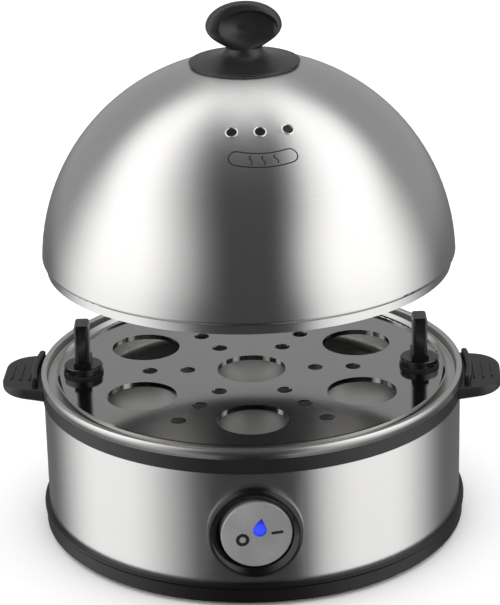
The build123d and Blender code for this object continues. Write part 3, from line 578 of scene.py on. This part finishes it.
def make_label():
    """A plain curved outline under the vents with three wavy steam lines in it, and no words."""
    straight = LABEL_HALF_LENGTH - LABEL_HALF_HEIGHT
    steps = 14
    outline = []
    for side in (1, -1):
        for step in range(steps + 1):
            turn = math.radians(-90 + 180 * step / steps)
            outline.append((side * (straight + LABEL_HALF_HEIGHT * math.cos(turn)),
                            side * LABEL_HALF_HEIGHT * math.sin(turn)))
        for step in range(1, 2 * steps):
            outline.append((side * straight * (1 - step / steps), side * LABEL_HALF_HEIGHT))
    line_on_dome("label_outline", [label_point(*point) for point in outline], (0, LABEL_ELEVATION),
                 LABEL_LINE, LABEL_LIFT, "mark_ink", True)
    wave_height = 4.0 * MM
    wave_width = 0.6 * MM
    for number, along in enumerate((-5.0 * MM, 0.0, 5.0 * MM), 1):
        wave = []
        for step in range(25):
            share = step / 24
            wave.append(label_point(along + wave_width * math.sin(2 * math.pi * share),
                                    wave_height * (share - 0.5)))
        line_on_dome(f"label_steam_{number}", wave, (0, LABEL_ELEVATION),
                     LABEL_LINE, LABEL_LIFT, "mark_ink", False)


# ---------------------------------------------------------------- light, floor and camera

CAMERA_PLACE = (0.0, -0.9261, 0.4589)
CAMERA_DOWN = 21.44        # degrees below level
CAMERA_ROLL = -1.33
FOCAL_LENGTH = 141.4


def make_camera():
    data = bpy.data.cameras.new("camera")
    data.lens = FOCAL_LENGTH
    data.sensor_width = 36.0
    data.clip_start = 0.01
    camera = bpy.data.objects.new("camera", data)
    bpy.context.scene.collection.objects.link(camera)
    tilt = Matrix.Rotation(math.radians(90 - CAMERA_DOWN), 4, "X")
    roll = Matrix.Rotation(math.radians(CAMERA_ROLL), 4, "Z")
    camera.matrix_world = Matrix.Translation(CAMERA_PLACE) @ tilt @ roll
    bpy.context.scene.camera = camera


# The studio that gloss reflects: a large soft panel at each side, a dimmer room, and a dark gap in front of
# the object. Directions are degrees from the front, and a panel is (direction, fade, brightness).
PANEL_HALF_WIDTH = 10
LOW_STUDIO = {"room": 0.15, "gap": (20, 40), "panels": ((-85, 50, 1.25), (70, 50, 1.25))}
HIGH_STUDIO = {"room": 0.40, "gap": (10, 35), "panels": ((-75, 45, 1.30), (65, 45, 1.30))}
GAP_LIGHT = 0.05
LOW_TO_HIGH = (-0.25, -0.05)             # heights between which the low studio turns into the high one
FLOOR_TO_LOW = (-0.68, -0.52)            # and the dim floor into the low studio
FLOOR_SHARE = 0.35                       # how bright the floor is beside the panels
OVERHEAD_FROM = 0.35                     # height from which the panels run straight towards the back
CEILING = 2.1
CEILING_LEAN = 0.35                      # how far the ceiling leans to the back
CEILING_SCALE = 0.9                      # keeps its ramp within 0 to 1
CEILING_STOPS = [(0.85, 0.0), (0.92, 0.14), (0.965, 1.0)]
ROOM_LIGHT = 1.35          # even light on everything that is matt


def mix_values(tree, factor, first, second):
    return add_node(tree, "ShaderNodeMix", {0: factor, 2: first, 3: second}, data_type="FLOAT").outputs[0]


def between(tree, value, low, high, rise="LINEAR"):
    """0 on low's side, 1 on high's side, and a straight or eased rise from one to the other."""
    inputs = {"Value": value, "From Min": low, "From Max": high}
    return add_node(tree, "ShaderNodeMapRange", inputs, clamp=True, interpolation_type=rise).outputs[0]


def light_round(tree, turn, studio):
    """The studio's brightness in each direction round the object, at one height."""
    light = studio["room"]
    for direction, fade, brightness in studio["panels"]:
        away = math_node(tree, "ABSOLUTE", math_node(tree, "SUBTRACT", turn, direction))
        share = between(tree, away, PANEL_HALF_WIDTH + fade, PANEL_HALF_WIDTH, "SMOOTHSTEP")
        light = math_node(tree, "MULTIPLY_ADD", share, brightness, light)
    outside_gap = between(tree, math_node(tree, "ABSOLUTE", turn), *studio["gap"], "SMOOTHSTEP")
    return mix_values(tree, outside_gap, GAP_LIGHT, light)


def studio_gloss(tree):
    """What gloss reflects: side panels, a ceiling overhead and towards the back, and a dim floor."""
    place = add_node(tree, "ShaderNodeTexCoord").outputs["Generated"]
    x, y, z = add_node(tree, "ShaderNodeSeparateXYZ", {0: place}).outputs
    # overhead the panels run on straight towards the back instead of closing in on one point
    overhead = math_node(tree, "MAXIMUM", math_node(tree, "SUBTRACT", z, OVERHEAD_FROM), 0.0)
    turn = math_node(tree, "ARCTAN2", x, math_node(tree, "SUBTRACT", overhead, y))
    turn = math_node(tree, "DEGREES", turn)
    low = light_round(tree, turn, LOW_STUDIO)
    high = light_round(tree, turn, HIGH_STUDIO)
    panels = mix_values(tree, between(tree, z, *LOW_TO_HIGH), low, high)
    dimmed = math_node(tree, "MULTIPLY", panels, FLOOR_SHARE)
    panels = mix_values(tree, between(tree, z, *FLOOR_TO_LOW), dimmed, panels)
    lean = math_node(tree, "MULTIPLY_ADD", y, CEILING_LEAN, z)
    ceiling = ramp(tree, math_node(tree, "MULTIPLY", lean, CEILING_SCALE), CEILING_STOPS)
    return mix_values(tree, ceiling, panels, CEILING)


def make_world():
    """A soft studio: even white light for matt surfaces, panels at both sides for gloss."""
    world = bpy.data.worlds.new("studio")
    bpy.context.scene.world = world
    world.use_nodes = True
    tree = world.node_tree
    tree.nodes.clear()
    gloss = add_node(tree, "ShaderNodeBackground", {"Color": studio_gloss(tree)})
    plain = add_node(tree, "ShaderNodeBackground", {"Color": (1.0, 1.0, 1.0, 1.0), "Strength": ROOM_LIGHT})
    is_gloss = add_node(tree, "ShaderNodeLightPath").outputs["Is Glossy Ray"]
    choice = add_node(tree, "ShaderNodeMixShader", {0: is_gloss, 1: plain.outputs[0], 2: gloss.outputs[0]})
    add_node(tree, "ShaderNodeOutputWorld", {"Surface": choice.outputs[0]})


def make_floor():
    material, tree, shader = new_material("floor")
    place = straight_coordinates(tree, (1.0, 1.0, 1.0))
    mottle = noise(tree, place, 6.0, 2.0, 0.5)
    tree.links.new(ramp(tree, mottle, [(0.3, grey(0.93)), (0.7, grey(0.95))]), shader.inputs["Base Color"])
    shader.inputs["Roughness"].default_value = 0.9
    shader.inputs["Specular IOR Level"].default_value = 0.1
    half = 6.0
    low = -0.0001
    mesh = bpy.data.meshes.new("floor")
    mesh.from_pydata([(-half, -half, low), (half, -half, low), (half, half, low), (-half, half, low)],
                     [], [(0, 1, 2, 3)])
    mesh.materials.append(material)
    floor = bpy.data.objects.new("floor", mesh)
    bpy.context.scene.collection.objects.link(floor)
    floor.visible_glossy = False


make_camera()
make_world()
make_floor()
bpy.context.scene.view_settings.view_transform = "Standard"
dress_cad_nodes()
make_pan()
make_knob()
make_vent_rims()
make_label()
